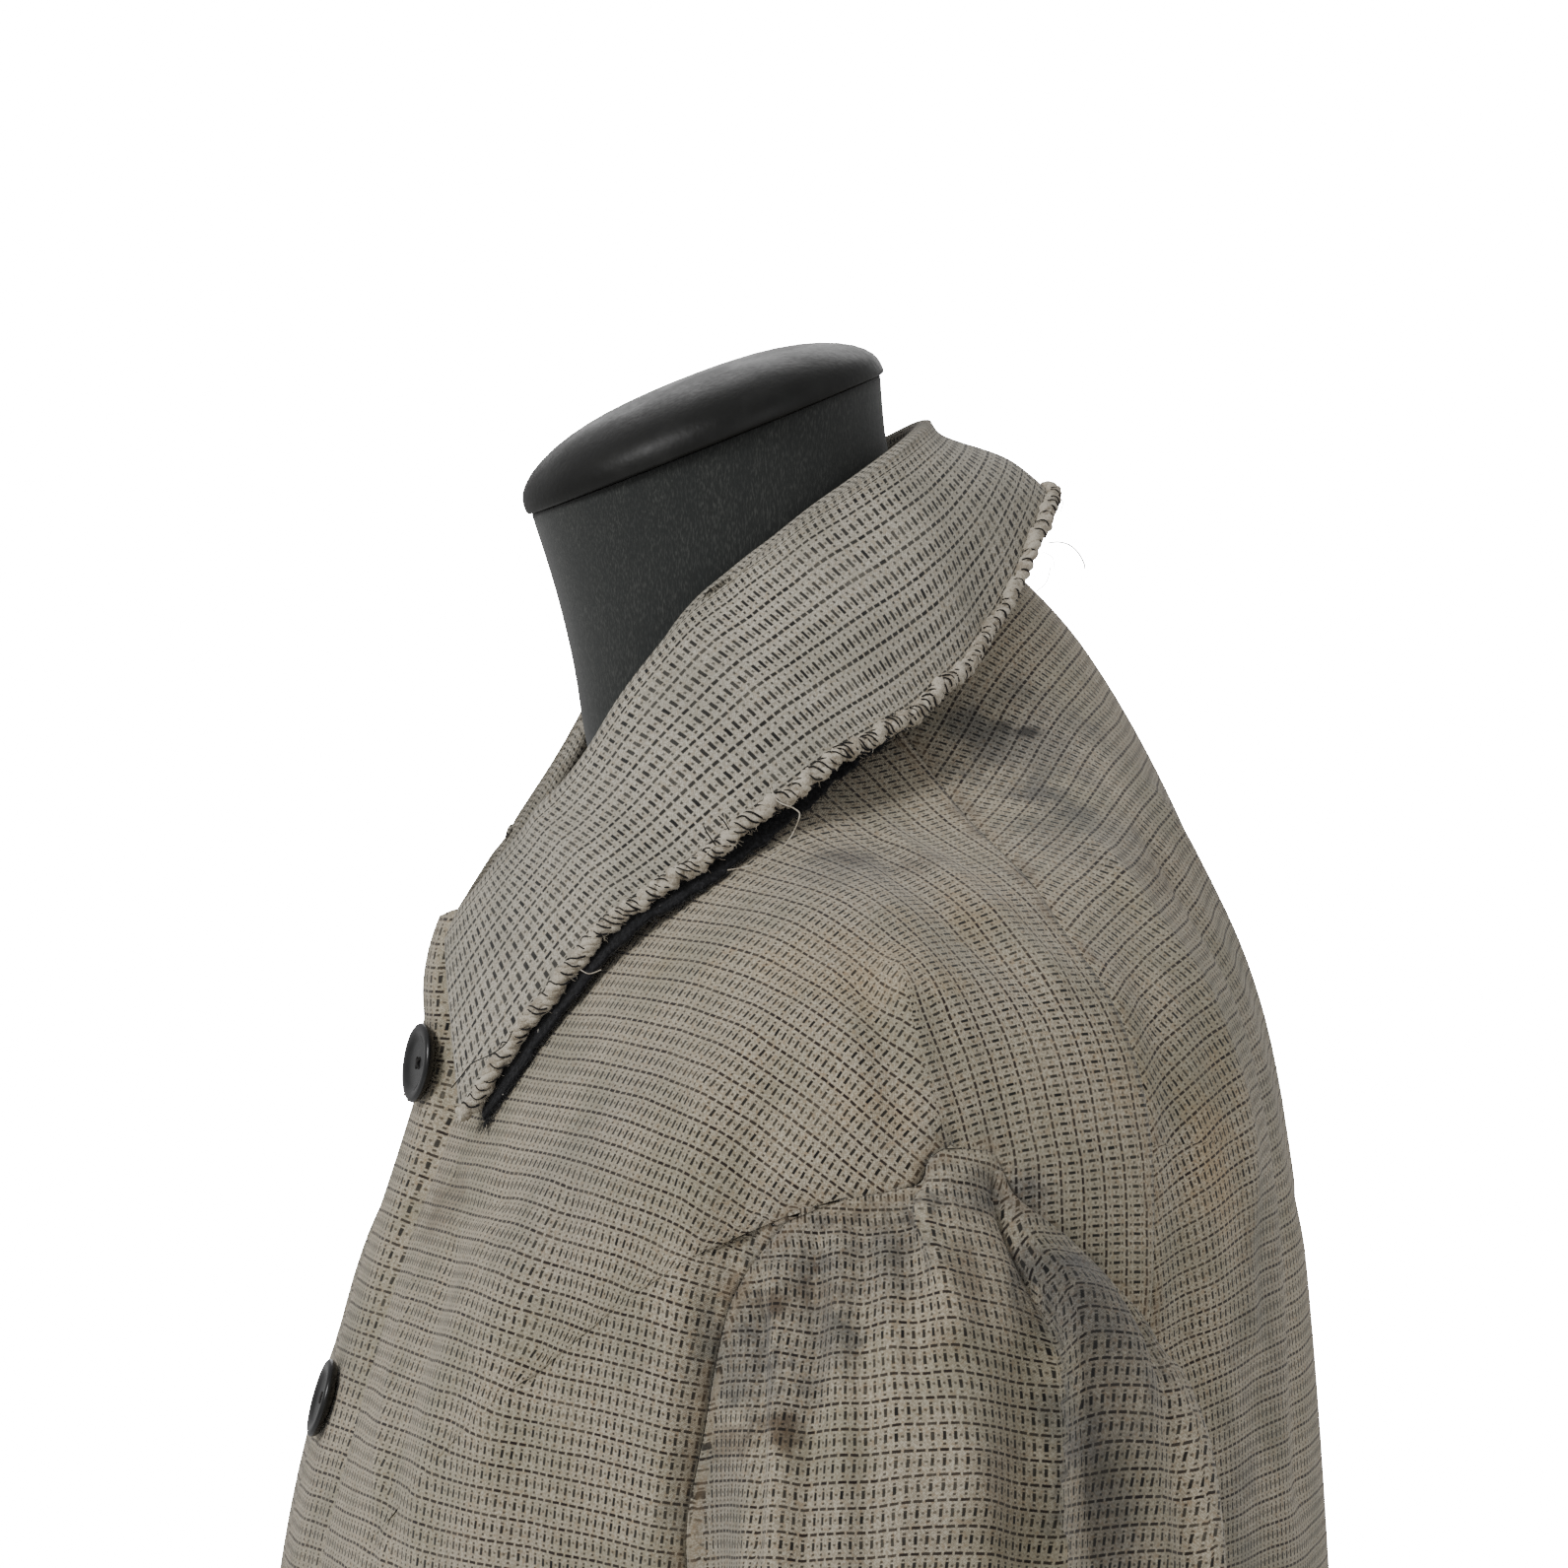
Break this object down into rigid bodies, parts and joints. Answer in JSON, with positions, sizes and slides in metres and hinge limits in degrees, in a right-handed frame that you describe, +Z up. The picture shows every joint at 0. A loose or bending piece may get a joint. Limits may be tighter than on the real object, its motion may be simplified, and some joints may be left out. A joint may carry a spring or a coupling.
{
  "type": "hunting jacket on a dress form",
  "caption": "Loose woven-cloth hunting jacket, buttoned up the front, with a wide frayed collar, dropped sleeves and fronts that run over the shoulder to a wedge on the back, on a dress form.",
  "frame": {"origin": "middle of the underside of the round base, on the floor", "axes": "+Z up, -Y towards the jacket's front, +X towards the wearer's left"},
  "size_m": [0.66, 0.424, 1.4988],
  "materials": {
    "woven_cloth": "dull greige wool with black and maroon threads, worn and stained",
    "black_under_collar": "dull black felted wool with a raw edge",
    "frayed_yarn": "loose pale yarn crossed by black threads",
    "black_button": "glossy black",
    "charcoal_form_cloth": "smooth charcoal heather jersey",
    "black_cap": "semi-gloss black",
    "black_stand": "satin black paint"
  },
  "bodies": {
    "root": {"front_left": "woven_cloth", "front_right": "woven_cloth", "back": "woven_cloth", "sleeve_left": "woven_cloth", "sleeve_right": "woven_cloth", "collar_upper": "woven_cloth", "collar_under": "black_under_collar", "collar_frayed_edge": "frayed_yarn", "button_1": "black_button", "button_2": "black_button", "button_3": "black_button", "button_4": "black_button", "button_5": "black_button", "form_torso": "charcoal_form_cloth", "form_neck_cap": "black_cap", "form_pole": "black_stand", "form_base": "black_stand"}
  },
  "joints": []
}
